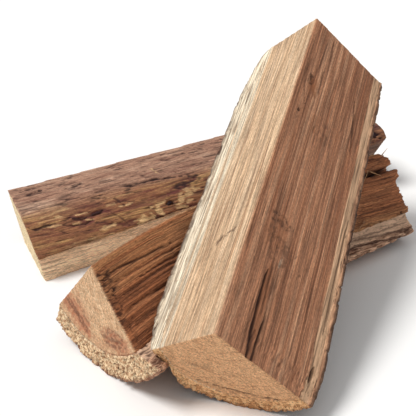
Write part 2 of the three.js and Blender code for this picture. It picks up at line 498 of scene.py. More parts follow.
class Sketch:
    """One material's node tree as it is drawn: adds nodes, joins them and hands back their outputs."""

    def __init__(self, name: str) -> None:
        """Starts a material of that name with one Principled shader."""
        self.material = bpy.data.materials.new(name)
        self.material.use_nodes = True
        self.tree = self.material.node_tree
        self.shader = self.tree.nodes["Principled BSDF"]

    def node(self, kind: str, **settings: object) -> bpy.types.Node:
        """Adds a node and sets its options."""
        made = self.tree.nodes.new(kind)
        for name, value in settings.items():
            setattr(made, name, value)
        return made

    def feed(self, socket: Socket, value: "Socket | float | Colour") -> None:
        """Joins an output to a socket, or sets the socket to a number or a colour."""
        if isinstance(value, bpy.types.NodeSocket):
            self.tree.links.new(value, socket)
        elif isinstance(value, tuple) and len(value) == 3 and socket.type == "RGBA":
            socket.default_value = (*value, 1)
        else:
            socket.default_value = value

    def carried(self, name: str) -> Socket:
        """A value that the mesh carries at its points."""
        return self.node("ShaderNodeAttribute", attribute_name=name).outputs["Fac"]

    def grain(self) -> Socket:
        """The place in the log's own frame, in millimetres, counted from the ridge."""
        return self.node("ShaderNodeAttribute", attribute_name="grain").outputs["Vector"]

    def speckle(
        self,
        size: Swell,
        detail: float = 3,
        rough: float = 0.6,
        seed: float = 0,
        turn: float = 0,
        stir: float = 0,
    ) -> Socket:
        """Noise in the log's frame, about 0.5 on average.

        Args:
            size: The noise's swells to the right, along and up, in millimetres.
            detail: How many finer scales it has.
            rough: How strong the finer scales are.
            seed: Moves the pattern.
            turn: Turns it about the log, in degrees.
            stir: How much the pattern is pulled about.

        Returns:
            The noise's factor.
        """
        mapping = self.node("ShaderNodeMapping", vector_type="TEXTURE")
        self.feed(mapping.inputs["Vector"], self.grain())
        mapping.inputs["Location"].default_value = [seed * shift for shift in NOISE_SHIFT]
        mapping.inputs["Rotation"].default_value = (0, math.radians(turn), 0)
        mapping.inputs["Scale"].default_value = size
        made = self.node("ShaderNodeTexNoise")
        self.feed(made.inputs["Vector"], mapping.outputs["Vector"])
        made.inputs["Scale"].default_value = 1
        made.inputs["Detail"].default_value = detail
        made.inputs["Roughness"].default_value = rough
        made.inputs["Distortion"].default_value = stir
        return made.outputs["Fac"]

    def rings(self, pith: Place, width: float) -> Socket:
        """Growth rings round the pith: noise that changes only with the distance from it."""
        away = self.node("ShaderNodeVectorMath", operation="SUBTRACT")
        self.feed(away.inputs[0], self.grain())
        away.inputs[1].default_value = (pith[0], 0, pith[1])
        level = self.node("ShaderNodeVectorMath", operation="MULTIPLY")
        self.feed(level.inputs[0], away.outputs[0])
        level.inputs[1].default_value = (1, 0, 1)
        radius = self.node("ShaderNodeVectorMath", operation="LENGTH")
        self.feed(radius.inputs[0], level.outputs[0])
        waver = self.times(self.speckle((18, 60, 18), seed=8), width * 2.4)
        place = self.node("ShaderNodeCombineXYZ")
        total = self.plus(radius.outputs["Value"], waver)
        self.feed(place.inputs["X"], self.maths("DIVIDE", total, width))
        made = self.node("ShaderNodeTexNoise")
        self.feed(made.inputs["Vector"], place.outputs["Vector"])
        made.inputs["Scale"].default_value = 1
        made.inputs["Detail"].default_value = 1
        return made.outputs["Fac"]

    def band(self, value: Socket, low: float, high: float, first: float = 0, last: float = 1) -> Socket:
        """A value's range from low to high as a soft step from first to last."""
        made = self.node("ShaderNodeMapRange", interpolation_type="SMOOTHSTEP")
        for name, number in (("From Min", low), ("From Max", high), ("To Min", first), ("To Max", last)):
            made.inputs[name].default_value = number
        self.feed(made.inputs["Value"], value)
        return made.outputs["Result"]

    def maths(self, how: str, first: "Socket | float", second: "Socket | float" = 0) -> Socket:
        """One sum of two values."""
        made = self.node("ShaderNodeMath", operation=how)
        self.feed(made.inputs[0], first)
        self.feed(made.inputs[1], second)
        return made.outputs[0]

    def blend(
        self, share: "Socket | float", first: "Socket | Colour", second: "Socket | Colour", how: str = "MIX"
    ) -> Socket:
        """Two colours mixed: the first where the share is 0, the second where it is 1."""
        made = self.node("ShaderNodeMix", data_type="RGBA", blend_type=how)
        self.feed(made.inputs[0], share)
        self.feed(made.inputs[6], first)
        self.feed(made.inputs[7], second)
        return made.outputs[2]

    def tones(self, share: Socket, colours: Shades, spread: float = 0.1) -> Socket:
        """Three colours along a noise: the first where it is low, the last where it is high."""
        low = self.blend(self.band(share, 0.5 - spread, 0.5), colours[0], colours[1])
        return self.blend(self.band(share, 0.5, 0.5 + spread), low, colours[2])

    def shade(self, colour: Socket, noise_here: Socket, low: float, high: float) -> Socket:
        """A colour made darker or lighter by a grey between low and high that follows a noise."""
        grey = self.node("ShaderNodeCombineXYZ")
        level = self.band(noise_here, 0.3, 0.7, low, high)
        for axis in ("X", "Y", "Z"):
            self.feed(grey.inputs[axis], level)
        return self.blend(1, colour, grey.outputs["Vector"], "MULTIPLY")

    def times(self, first: "Socket | float", second: "Socket | float") -> Socket:
        """Two values multiplied."""
        return self.maths("MULTIPLY", first, second)

    def plus(self, first: "Socket | float", second: "Socket | float") -> Socket:
        """Two values added."""
        return self.maths("ADD", first, second)

    def hairlines(self, size: Swell, seed: float, thin: float, gaps: float) -> Socket:
        """Fine lines along the grain that come and go.

        Args:
            size: How far apart the lines are, and how long.
            seed: Moves the pattern.
            thin: How thin they are.
            gaps: The share of the way where they fade, from 0 to 1.

        Returns:
            1 on a line, 0 between lines.
        """
        swell = self.speckle(size, detail=1, seed=seed)
        off = self.maths("ABSOLUTE", self.maths("SUBTRACT", swell, 0.5))
        line = self.band(off, thin * 0.25, thin, 1, 0)
        fading = self.speckle((9, 55, 9), seed=seed + 0.5)
        shown = self.band(fading, 0.36 + 0.2 * gaps, 0.5 + 0.2 * gaps)
        return self.times(line, shown)

    def dress(self, colour: Socket, roughness: Socket, height: Socket, relief: float) -> bpy.types.Material:
        """Joins the finished colour, roughness and height to the shader.

        Args:
            colour: The base colour.
            roughness: How matt it is.
            height: The height of its smallest unevenness, from 0 to 1.
            relief: What a height of 1 stands for, in millimetres.

        Returns:
            The material.
        """
        bump = self.node("ShaderNodeBump")
        bump.inputs["Strength"].default_value = 1
        bump.inputs["Distance"].default_value = relief * MM
        self.feed(bump.inputs["Height"], height)
        self.feed(self.shader.inputs["Base Color"], colour)
        self.feed(self.shader.inputs["Roughness"], roughness)
        self.feed(self.shader.inputs["Normal"], bump.outputs["Normal"])
        self.shader.inputs["Specular IOR Level"].default_value = GLOSS
        return self.material


@dataclass(frozen=True)
class WoodFinish:
    """Split wood: long fibres, a paler band of sapwood, sawn ends, the stains on them, and painted shade in
    furrows and clefts.
    """

    name: str
    left: Shades
    right: Shades
    line: Colour
    sapwood: Colour
    sawn: Shades
    red: Colour
    dark: Colour
    pith: Place
    saw_turn: float = 20
    seed: float = 0
    lines: float = 0.5

    def material(self) -> bpy.types.Material:
        """Draws the wood's node tree."""
        s = Sketch(self.name)
        broad = s.speckle((26, 420, 26), detail=2, seed=self.seed + 1)
        middle = s.speckle((4.6, 260, 4.6), detail=4, rough=0.65, seed=self.seed + 2)
        fine = s.speckle((1.1, 60, 1.1), detail=3, rough=0.65, seed=self.seed + 3)
        pores = s.speckle((1.1, 3.4, 1.1), detail=2, rough=0.7, seed=self.seed + 7)
        share = s.plus(s.times(broad, 0.35), s.times(middle, 0.65))
        face = s.blend(s.carried("tone"), s.tones(share, self.left, 0.12), s.tones(share, self.right, 0.12))
        threads = s.speckle((2.4, 210, 2.4), detail=3, rough=0.6, seed=self.seed + 5)
        sap = s.blend(s.band(threads, 0.48, 0.6, 0, 0.75), self.sapwood, face)
        face = s.blend(s.carried("pale"), face, sap)
        thin = s.hairlines((1.5, 150, 1.5), self.seed + 4, 0.05, 0.35)
        bold = s.hairlines((4, 380, 4), self.seed + 4.7, 0.028, 0.3)
        lines = s.maths("MAXIMUM", s.times(thin, 0.6), bold)
        face = s.blend(s.times(lines, self.lines), face, self.line)
        # painted shade: the furrows darkened toward the line colour
        face = s.blend(s.times(s.carried("furrow_shade"), 0.45), face, self.line)
        face = s.shade(face, fine, 0.6, 1.3)
        colour = s.blend(s.carried("cut"), face, self.sawn_colour(s))
        colour = s.shade(colour, pores, 0.78, 1.18)
        blush = s.times(s.carried("red"), s.band(pores, 0.36, 0.62, 0.55, 1))
        colour = s.blend(blush, colour, self.red)
        # dark stains, and on the near log the painted shade inside its cleft
        colour = s.blend(s.carried("dark"), colour, self.dark)
        roughness = s.band(fine, 0.3, 0.7, 0.62, 0.86)
        height = s.plus(s.times(fine, 0.8), s.times(lines, -0.4))
        height = s.plus(height, s.times(pores, 0.3))
        return s.dress(colour, roughness, height, 0.9)

    def sawn_colour(self, s: Sketch) -> Socket:
        """The colour of a sawn end: rings, the saw's strokes and its grit."""
        rings = s.rings(self.pith, 3.2)
        strokes = s.speckle((5, 30, 1.6), detail=4, rough=0.7, seed=self.seed + 6, turn=self.saw_turn)
        grit = s.speckle((1.7, 1.7, 1.7), detail=3, rough=0.7, seed=self.seed + 9)
        share = s.plus(s.times(rings, 0.3), s.times(strokes, 0.7))
        colour = s.tones(share, self.sawn, 0.12)
        colour = s.shade(colour, grit, 0.74, 1.2)
        return s.blend(s.band(grit, 0.34, 0.26, 0, 0.7), colour, self.line)


@dataclass(frozen=True)
class CorkFinish:
    """Thick corky bark: a crumbly sawn rim, fibrous split edges and a furrowed outer skin."""

    name: str
    rim: Shades
    left_edge: Shades
    right_edge: Shades
    skin: Shades
    pit_and_furrow_shade: Colour
    inner: Colour
    crust: Colour = (0.34, 0.13, 0.075)
    weathered: Colour = (0.46, 0.39, 0.30)
    seed: float = 0
    pits: float = 0.8

    def material(self) -> bpy.types.Material:
        """Draws the bark's node tree."""
        s = Sketch(self.name)
        crumbs = s.speckle((2.8, 2.8, 2.8), detail=4, rough=0.7, seed=self.seed + 1)
        fibres = s.speckle((1.6, 34, 1.6), detail=4, rough=0.7, seed=self.seed + 2)
        clods = s.speckle((9, 14, 9), detail=3, seed=self.seed + 3)
        depth = s.carried("depth")
        outside = s.band(depth, 0.55, 0.85)
        rim = s.tones(crumbs, self.rim, 0.08)
        rim = s.blend(s.times(s.carried("crust"), 0.8), rim, self.crust)
        right = s.blend(outside, self.inner, s.tones(fibres, self.right_edge, 0.1))
        left = s.tones(fibres, self.left_edge, 0.1)
        left = s.blend(s.times(outside, s.band(clods, 0.42, 0.56)), left, self.weathered)
        edge = s.blend(s.carried("tone"), left, right)
        edge = s.shade(edge, fibres, 1.18, 0.68)
        skin = s.tones(s.times(s.plus(clods, crumbs), 0.5), self.skin)
        colour = s.blend(s.carried("cut"), edge, rim)
        colour = s.blend(s.carried("skin"), colour, skin)
        holes = s.band(s.speckle((2, 3, 2), detail=2, seed=self.seed + 4), 0.58, 0.64, 0, self.pits)
        slits = s.band(s.speckle((1.5, 16, 1.5), detail=2, seed=self.seed + 5), 0.62, 0.68)
        slits = s.times(slits, s.band(depth, 0.25, 0.8, 0.15, 0.85))
        round_here = s.maths("MAXIMUM", s.carried("cut"), s.carried("skin"))
        specks = s.plus(s.times(holes, round_here), slits)
        # painted shade in the bark's furrows and creases, mixed with the dark holes and slits toward the pit
        # colour
        furrow_shade = s.times(s.carried("furrow_shade"), 0.6)
        colour = s.blend(s.maths("MAXIMUM", furrow_shade, specks), colour, self.pit_and_furrow_shade)
        colour = s.blend(s.carried("pale"), colour, self.inner)
        colour = s.blend(s.carried("red"), colour, self.crust)
        colour = s.blend(s.carried("dark"), colour, self.pit_and_furrow_shade)
        roughness = s.band(crumbs, 0.3, 0.7, 0.74, 0.95)
        height = s.plus(crumbs, s.times(fibres, 0.6))
        return s.dress(colour, roughness, height, 1.3)


@dataclass(frozen=True)
class BastFinish:
    """Weathered inner bark: long strips from tan to purple brown, galleries and yellow flaked places."""

    name: str
    strips: Shades
    crown: Shades
    purple: Colour
    flake: Colour
    dark: Colour
    seed: float = 0

    def material(self) -> bpy.types.Material:
        """Draws the inner bark's node tree."""
        s = Sketch(self.name)
        broad = s.speckle((16, 90, 16), detail=3, seed=self.seed + 1, stir=0.3)
        middle = s.speckle((3.2, 38, 3.2), detail=4, rough=0.7, seed=self.seed + 2, stir=0.2)
        fine = s.speckle((1.1, 15, 1.1), detail=4, rough=0.7, seed=self.seed + 3)
        grit = s.speckle((1.4, 2.6, 1.4), detail=3, rough=0.7, seed=self.seed + 4)
        share = s.plus(s.times(broad, 0.5), s.times(middle, 0.5))
        strips = s.tones(share, self.strips, 0.12)
        colour = s.blend(s.carried("tone"), s.tones(share, self.crown, 0.12), strips)
        # painted shade: the furrows darkened toward the dark colour
        colour = s.blend(s.times(s.carried("furrow_shade"), 0.7), colour, self.dark)
        stained = s.times(s.carried("red"), s.band(grit, 0.3, 0.6, 0.5, 1))
        colour = s.blend(stained, colour, self.purple)
        flaked = s.times(s.carried("pale"), s.band(fine, 0.3, 0.55, 0.6, 1))
        colour = s.blend(flaked, colour, self.flake)
        colour = s.shade(colour, fine, 0.62, 1.28)
        colour = s.shade(colour, grit, 0.8, 1.16)
        colour = s.blend(s.carried("dark"), colour, self.dark)
        roughness = s.band(fine, 0.3, 0.7, 0.6, 0.9)
        height = s.plus(fine, s.times(middle, 0.8))
        return s.dress(colour, roughness, height, 1.2)


# --- The logs ---

# Short names for the faces, for the tables of marks below.
R, L, E, K = Face.RIGHT, Face.LEFT, Face.NEAR_END, Face.SKIN


@dataclass(frozen=True)
class Scatter:
    """Small marks strewn over a log's skin from a fixed seed; every pair is a range to draw from."""

    seed: int
    count: int
    across: Place
    length: Place
    drift: float
    width: Place
    depth: float
    strength: Place
    stains: tuple[Stain, ...] = (Stain.DARK,)
    along: Place = (2, 320)

    def marks(self) -> Marks:
        """The marks, each a short line along the grain."""
        chance = random.Random(self.seed)
        made = []
        for index in range(self.count):
            across = chance.uniform(*self.across)
            along = chance.uniform(*self.along)
            length = chance.uniform(*self.length)
            line = (across, along, across + chance.uniform(-self.drift, self.drift), along + length)
            width = chance.uniform(*self.width)
            stain = self.stains[index % len(self.stains)]
            made.append(gallery(line, width, self.depth, chance.uniform(*self.strength), stain))
        return tuple(made)


@dataclass
class FrontLog:
    """The log that leans across the others: clean split faces with a sharp ridge, and a corky bark."""

    place: LogFrame = LogFrame((-0.165, -252.267, 94.4), 73.6, 20.9)
    sapwood_left: Place = (53, 57)
    sapwood_swell: Swell = (5, 60, 5)
    sapwood_waver: float = 2.5
    bark_thickness: float = 13.6
    bark_proud: float = 1.8
    bark_ring: tuple[float, float, float] = (15.3, -13.8, 87.1)
    left_face: Place = (-0.802, -0.598)
    worn_skin: Place = (14, 50)
    faces: tuple[Relief, ...] = (
        Relief(2.4, 70, 0.22, seed=1.3),
        Relief(7, 190, 0.4, seed=2.1),
        Relief(26, 130, 0.7, seed=3.7),
        Relief(5, 620, 0.4, Form.CREASE, seed=4.2, crease=0.05),
        Relief(3, 300, 0.3, Form.CREASE, seed=6.2, crease=0.06),
    )
    ends: tuple[Relief, ...] = (Relief(3.4, 3.4, 0.35, seed=5.5), Relief(1.9, 1.9, 0.3, seed=6.4))
    worn: Line = (
        0, 68, 5, 70, 14, 73.5, 28, 90, 285, 90, 300, 77, 324, 74.5, 345, 70.5,
        363, 65.5, 372, 59, 390, 50,
    )
    furrows: tuple[Relief, ...] = (
        Relief(9, 22, 1.7, seed=7.1),
        Relief(3.6, 8, 1.1, seed=8.2),
        Relief(6, 16, 1.4, Form.CREASE, seed=9.3, crease=0.14),
    )
    crumbs: tuple[Relief, ...] = (
        Relief(2.4, 2.4, 0.6, seed=1.9),
        Relief(3, 3, 0.8, Form.CREASE, seed=2.8, crease=0.07),
    )
    marks: Marks = (
        Vein(R, (35, -20, 34.5, 30, 32, 90), 8, 0, 0.55, Stain.RED, 0.4, taper=1),
        Vein(R, (34.2, -16, 33.5, 6.5, 30.8, 27.6, 29.9, 46, 29.6, 61, 29.6, 84), 2.3, 1.4, 1, taper=1),
        Vein(R, (36, -12, 35.4, 8, 34, 26), 1.6, 0.6, 0.7, taper=1),
        Vein(R, (39.6, -14, 39.4, 8.5, 38.6, 22, 39.7, 37.2, 39.8, 52), 2, 1.2, 1, taper=1),
        Vein(R, (39.5, 40, 38, 70, 36.5, 100), 1.2, 0.5, 0.5, taper=1),
        Vein(R, (36, 30, 34.2, 64, 32, 110), 1.5, 0.6, 0.6, taper=1),
        Vein(R, (44.5, 2, 43, 44, 41.8, 86), 1.5, 0.5, 0.45, taper=1),
        Vein(R, (27, 4, 25.5, 30, 24, 52), 1.3, 0.4, 0.4),
        Vein(R, (52, 10, 51, 70, 49, 120), 1.2, 0.4, 0.35),
        Vein(R, (80, 20, 79, 110, 78, 200), 1.4, 0.4, 0.35),
        Vein(R, (73.7, 330, 78, 305, 81.5, 285, 83.9, 262), 2, 0.8, 0.6),
        Vein(R, (29, 378, 30.6, 353, 31, 330), 1.8, 0.6, 0.6),
        Vein(R, (22, 372, 21, 335, 19, 312), 1.3, 0.3, 0.45),
        Vein(R, (14.6, 308, 20.2, 297, 25.8, 287), 3.6, 0.5, 0.8, Stain.RED),
        Vein(R, (13, 312, 17, 303), 1.8, 0.6, 0.7),
        Patch(R, (12, 259), (2.6, 4), 0.8, 0.85),
        Patch(R, (35, 252), (3, 6), 0.5, 0.6, Stain.RED),
        Patch(R, (29, 133), (17, 7), 0.3, 0.75, grit=0.9, grain=(2, 3.2), edge=0.8),
        Patch(R, (29.5, 132), (4, 3.6), 0.3, 0.7, grit=0.4, grain=(2, 2), edge=0.8),
        Patch(R, (24, 118), (9, 8), 0.3, 0.45, grit=0.9, grain=(1.8, 4.5), edge=0.8),
        Patch(R, (28, 120), (15, 24), 0, 0.5, Stain.RED, 0.6, (2.4, 6), edge=0.7),
        Vein(R, (30, 116, 37, 117, 43, 110, 44, 100, 40, 92), 3, 0.3, 0.4, ragged=1.3, run=3),
        Vein(R, (26, 124, 24, 112, 26, 102, 30, 92), 3, 0.3, 0.4, ragged=1.3, run=3),
        Patch(R, (35, 107), (6, 9), 0.2, 0.5, grit=0.9, grain=(1.8, 3), edge=0.8),
        Vein(R, (40.5, 100, 39.2, 90), 1.7, 0, 0.8, Stain.PALE),
        Patch(R, (50, 112), (8, 5), 0.3, 0.6, grit=1, grain=(1.6, 3)),
        Patch(R, (15.5, 305), (4.6, 9), 0.4, 0.85, grit=0.7, grain=(2, 4), edge=0.8),
        Patch(R, (46, 258), (15, 18), 0, 0.4, grit=0.9, grain=(2.2, 5), edge=0.8),
        Patch(R, (60, 268), (8, 9), 0, 0.4, Stain.RED, 0.8, (2.2, 4), edge=0.8),
        Patch(R, (20, 300), (8, 14), 0, 0.85, Stain.RED, 0.4, (2.5, 6), edge=0.6),
        Vein(R, (9, 330, 8, 312, 10, 290, 16, 270), 1.2, 0.4, 0.5),
        Vein(R, (26, 330, 28, 310, 27, 290), 1.2, 0.4, 0.45),
        Patch(R, (33, 262), (8, 16), 0, 0.45, Stain.RED, 0.5, (2.5, 9)),
        Patch(R, (62, 98), (2, 2), 0.3, 0.6),
        Vein(L, (34, 99.5, 31, 103, 28.5, 105), 2.8, 0.6, 0.7, ragged=0.9, run=1.6),
        Vein(L, (26, 104.5, 21, 108, 16.5, 110), 2.6, 0.6, 0.7, ragged=0.9, run=1.6),
        Patch(L, (29, 103), (5, 4), 0.2, 0.45, grit=0.7, grain=(1.8, 2.6), edge=0.8),
        Vein(L, (34, 95, 32, 103), 1.6, 0.5, 0.75),
        Vein(L, (17, 120, 16.4, 200, 17.4, 300), 1, 0.3, 0.4),
        Vein(L, (47, 60, 46, 190, 47.5, 330), 1.1, 0.4, 0.4),
        Vein(L, (58.3, 328, 58, 348), 1.3, 0.6, 0.6),
        Vein(L, (64.5, 310, 65, 288), 1.5, 0.8, 0.8),
        Vein(L, (61, 252, 60, 230), 1.3, 0.6, 0.6),
        Vein(E, (-22, -74, -1.8, -78.1, 26.9, -81.1, 49.6, -80.8, 60, -76), 1.2, 0.8, 0.8),
        Patch(E, (-15, -52), (24, 9), 0, 0.3, grit=1, grain=(7, 7)),
    )
    bark_marks: Marks = (
        Vein(L, (58.3, 335, 58, 346), 1.4, 0.8, 0.7),
        Vein(L, (66, 310, 65.6, 288), 1.6, 1, 0.85),
        Vein(L, (61, 250, 60, 232), 1.3, 0.6, 0.6),
        Vein(L, (77, 236, 76.5, 222), 1.8, 1, 0.9),
        Vein(L, (66.7, 264, 67, 246), 1.2, 0.6, 0.5),
        Vein(L, (68, 190, 66, 130), 1.3, 0.5, 0.45),
        Vein(L, (64, 96, 62, 24), 1.3, 0.6, 0.5),
        Vein(L, (69, 70, 68, 10), 1.3, 0.6, 0.5),
        Vein(R, (98, 17, 99, 24, 99.5, 31), 2.4, 4, 1, ragged=0.3, taper=0.5),
        Vein(R, (101, 60, 100, 130, 101, 190), 1.6, 1, 0.6),
    )

    wood: WoodFinish = WoodFinish(
        "front log split wood",
        left=((0.77, 0.56, 0.37), (0.67, 0.455, 0.28), (0.51, 0.30, 0.17)),
        right=((0.65, 0.345, 0.20), (0.51, 0.235, 0.126), (0.31, 0.122, 0.06)),
        line=(0.20, 0.085, 0.045),
        sapwood=(0.80, 0.69, 0.52),
        sawn=((0.88, 0.53, 0.28), (0.76, 0.42, 0.215), (0.56, 0.28, 0.135)),
        red=(0.34, 0.12, 0.045),
        dark=(0.06, 0.024, 0.015),
        pith=(4, -2),
    )
    cork: CorkFinish = CorkFinish(
        "front log bark",
        rim=((1, 0.64, 0.33), (0.84, 0.46, 0.215), (0.54, 0.255, 0.11)),
        left_edge=((0.98, 0.88, 0.69), (0.90, 0.76, 0.57), (0.62, 0.46, 0.32)),
        right_edge=((0.68, 0.38, 0.22), (0.54, 0.27, 0.155), (0.28, 0.13, 0.07)),
        skin=((0.22, 0.13, 0.08), (0.13, 0.07, 0.045), (0.06, 0.03, 0.02)),
        pit_and_furrow_shade=(0.07, 0.03, 0.018),
        inner=(0.78, 0.49, 0.30),
        crust=(0.42, 0.19, 0.09),
        pits=0.5,
    )

    def build(self) -> None:
        """Makes and dresses the wood and the bark."""
        wood = Blank("front_log_wood", self.place)
        ridge = wood.find_ridge()
        away = ridge.away(wood.start)
        reach = np.hypot(away[:, 0], away[:, 2])
        ends = wood.ends()
        wood.values["cut"] = ends
        wood.values["tone"] = wood.beyond_ridge()
        edge = self.sapwood_waver * wavering(wood.start, self.sapwood_swell, 3.3)
        wood.values["pale"] = smooth(reach + edge, *self.sapwood_left) * (1 - wood.values["tone"])
        wood.seat("front_log_bark")
        wood.carve(self.faces, 1 - ends)
        wood.carve(self.ends, ends)
        wood.mark(self.marks)
        self.wear(wood)
        wood.finish("front_log_wood_carved", self.wood.material())
        dress_bark("front_log_bark", self, ridge, self.cork)

    def wear(self, piece: Blank) -> None:
        """Pulls in the far corner of the left face, which has worn away."""
        away = piece.ridge.away(piece.start)
        out, under = self.left_face
        reach = away[:, 0] * out + away[:, 2] * under
        inside = away[:, 0] * -under + away[:, 2] * out
        over = np.maximum(reach - level_at(self.worn, piece.start[:, 1]), 0)
        over *= 1 - smooth(np.abs(inside), *self.worn_skin)
        piece.points[:, 0] -= over * out
        piece.points[:, 2] -= over * under


@dataclass
class NearLog:
    """The short log under the leaning one: a torn far end, deep fibres and the thickest bark."""

    place: LogFrame = LogFrame((-100.965, -172.467, 102), 43.3)
    length: float = 378
    bark_thickness: float = 19
    bark_proud: float = 1.2
    bark_ring: tuple[float, float, float] = (1.5, -1, 101)
    faces: tuple[Relief, ...] = (
        Relief(2.2, 90, 0.35, seed=1.1),
        Relief(5, 420, 0.6, Form.STEP, seed=2.2, steps=4),
        Relief(28, 220, 1, seed=3.3),
        Relief(4, 620, 0.6, Form.CREASE, seed=4.4, crease=0.045),
    )
    ends: tuple[Relief, ...] = (Relief(3, 3, 0.25, seed=5.1), Relief(1.9, 1.9, 0.2, seed=6.1))
    furrows: tuple[Relief, ...] = (
        Relief(8, 20, 2.4, seed=7.4),
        Relief(4.2, 8, 1.6, seed=8.4),
        Relief(6.5, 14, 1.8, Form.CREASE, seed=9.4, crease=0.16),
    )
    crumbs: tuple[Relief, ...] = (
        Relief(3.2, 3.2, 1.4, seed=1.4),
        Relief(4.4, 4.4, 2, Form.CREASE, seed=2.4, crease=0.12),
    )
    golden_down: Place = (8, 46)
    golden_along: Place = (150, 260)
    greyed_down: Place = (58, 80)
    greyed_along: Place = (220, 300)
    ridge_highlight: Place = (1, 3)
    fray: tuple[Swell, ...] = ((1.8, 2.4, 6.6), (5, 2.6, 7.7))
    fray_length: float = 500
    torn_from: float = 45
    torn: Line = (
        0, 2, 6, 10, 10, 15, 19.5, 17, 23, 20, 33, 19, 36, 11, 45, 9,
        62, 8, 84, 9, 120, 8,
    )
    cleft_down: float = 21.2
    cleft_width: float = 3.4
    cleft_depth: float = 11
    cleft_length: float = 38
    cleft_whole: float = 20
    cleft_inward: float = 8
    cleft_shade: float = 1.6
    splinter_tip: float = 0.2
    splinter_breadth: Place = (1.6, 0.6)
    splinter_paleness: float = 0.8
    tear_along_face: Place = (0.697, -0.717)
    marks: Marks = (
        # a raised pale sliver along the ridge at the near end; its paleness is partly the sliver's own and
        # partly painted highlight on the edge
        Vein(R, (0.6, -2, 0.8, 14, 2.4, 28), 1.3, -0.3, 1, Stain.PALE, 0.2, run=9),
        Vein(R, (15, 2, 14.3, 24, 18.6, 58, 20, 90), 1.4, 1.2, 0.85, ragged=0.3),
        Vein(R, (23, 14, 25, 60, 27, 150), 1.2, 0.8, 0.6, ragged=0.3),
        Vein(R, (31, 40, 32, 90, 34, 170), 1.3, 0.9, 0.7, ragged=0.3),
        Vein(R, (36, 10, 35.4, 60, 37, 130), 1.3, 0.8, 0.7, ragged=0.3),
        Vein(R, (47, 20, 50, 80, 50, 150), 1.2, 0.8, 0.6, ragged=0.3),
        Vein(R, (60, 12, 61, 70), 1.2, 0.6, 0.5, ragged=0.3),
        Patch(R, (16, 4), (9, 12), 0.6, 0.9, grit=1, grain=(1.5, 9), edge=0.9),
        Patch(R, (27, 5), (7, 12), 0.8, 1, grit=0.8, grain=(1.6, 8), edge=0.9),
        Patch(R, (42, 3), (14, 8), 0.5, 0.8, grit=1, grain=(1.5, 8), edge=0.9),
        Patch(R, (70, 368), (2.6, 3), 2, 1),
        Vein(R, (28, 300, 30, 340, 31, 376), 1.3, 0.6, 0.6),
        Vein(R, (50, 290, 46, 330, 47, 372), 1.2, 0.5, 0.5),
        Vein(R, (62, 300, 60, 374), 1.2, 0.5, 0.45),
        Patch(R, (8, 362), (7, 9), 0.6, 0.7, grit=0.8, grain=(2.4, 4), edge=0.8),
        Vein(R, (21, 330, 21, 368), 2.2, 6, 1, ragged=0.4),
        Vein(E, (-46, -50, -32, -56, -21, -63, -10.5, -73), 17, 0, 0.8, Stain.RED, 0.5, run=4),
        Vein(E, (-24, -36, -15, -52, -8, -66), 7, 0, 0.35, Stain.RED, 0.6, run=4),
        Vein(E, (-44, -48, -30, -58, -12, -72), 2.2, 0.3, 0.55, ragged=1.4, run=3),
        Vein(E, (-38, -47, -24, -58, -10, -70), 2, 0.3, 0.5, ragged=1.4, run=3),
        Vein(E, (-34, -34, -20, -48, -6, -66), 1.8, 0.3, 0.4, ragged=1.4, run=3),
        Vein(E, (10, -64, 24, -62, 38, -58), 2.2, 0.3, 0.5, ragged=1.4, run=3),
        Vein(E, (14, -69, 26, -67, 36, -64), 2, 0.3, 0.5, ragged=1.4, run=3),
        Patch(E, (30, -61), (20, 11), 0, 0.95, Stain.RED, 0.4, (3, 3), edge=0.8),
        Patch(E, (28, -59), (14, 10), 0, 0.5, grit=1, grain=(2.2, 2.2), edge=0.9),
        Patch(E, (2, -74), (22, 6), 0, 0.4, Stain.RED, 0.6, (3, 3), edge=0.7),
    )
    bark_marks: Marks = (
        Patch(R, (79, 6), (5, 9), 0.8, 0.95, grit=1, grain=(1.5, 8), edge=0.9),
        Patch(R, (88, 4), (8, 8), 0.8, 0.9, grit=1, grain=(1.6, 7), edge=0.9),
        Vein(R, (96, 0, 97, 14), 3, 0.6, 0.8),
        Vein(R, (82, 255, 84, 300, 83, 340), 1.3, 0.6, 0.6, run=8),
        Vein(R, (84, 262, 88, 330, 88, 376), 1.6, 0.7, 0.7, run=8),
        Vein(R, (86, 300, 82, 350, 80, 376), 1.2, 0.5, 0.5, run=8),
        Vein(R, (92, 270, 95, 376), 2, 0.9, 0.8, run=8),
        Patch(R, (90, 362), (7, 12), 1, 0.8, grit=0.9, grain=(2.2, 6), edge=0.8),
    )
    splinters: tuple = (
        ((3, 384, -20), (4, 393, -13), 0.6),
        ((8.5, 358, -28), (17.5, 371, -35.5), 0.6),
        ((8, 356, -27.5), (13.5, 343, -34.5), 0.8),
        ((36.5, 319, -63), (41, 303, -66.5), 0.7),
    )

    wood: WoodFinish = WoodFinish(
        "near log split wood",
        left=((0.60, 0.38, 0.22), (0.48, 0.28, 0.15), (0.33, 0.17, 0.08)),
        right=((0.62, 0.26, 0.115), (0.45, 0.165, 0.07), (0.23, 0.078, 0.034)),
        line=(0.09, 0.03, 0.016),
        sapwood=(0.52, 0.27, 0.12),
        sawn=((0.86, 0.60, 0.37), (0.74, 0.47, 0.27), (0.58, 0.32, 0.17)),
        red=(0.46, 0.125, 0.055),
        dark=(0.05, 0.02, 0.014),
        pith=(0, 0),
        saw_turn=70,
        seed=11,
        lines=0.6,
    )
    cork: CorkFinish = CorkFinish(
        "near log bark",
        rim=((1, 0.78, 0.50), (0.80, 0.54, 0.32), (0.48, 0.26, 0.14)),
        left_edge=((0.62, 0.48, 0.34), (0.46, 0.33, 0.23), (0.28, 0.18, 0.12)),
        right_edge=((0.80, 0.50, 0.33), (0.58, 0.33, 0.21), (0.27, 0.12, 0.07)),
        skin=((0.50, 0.30, 0.20), (0.36, 0.20, 0.13), (0.19, 0.09, 0.055)),
        pit_and_furrow_shade=(0.07, 0.03, 0.02),
        inner=(0.76, 0.49, 0.33),
        seed=5,
    )

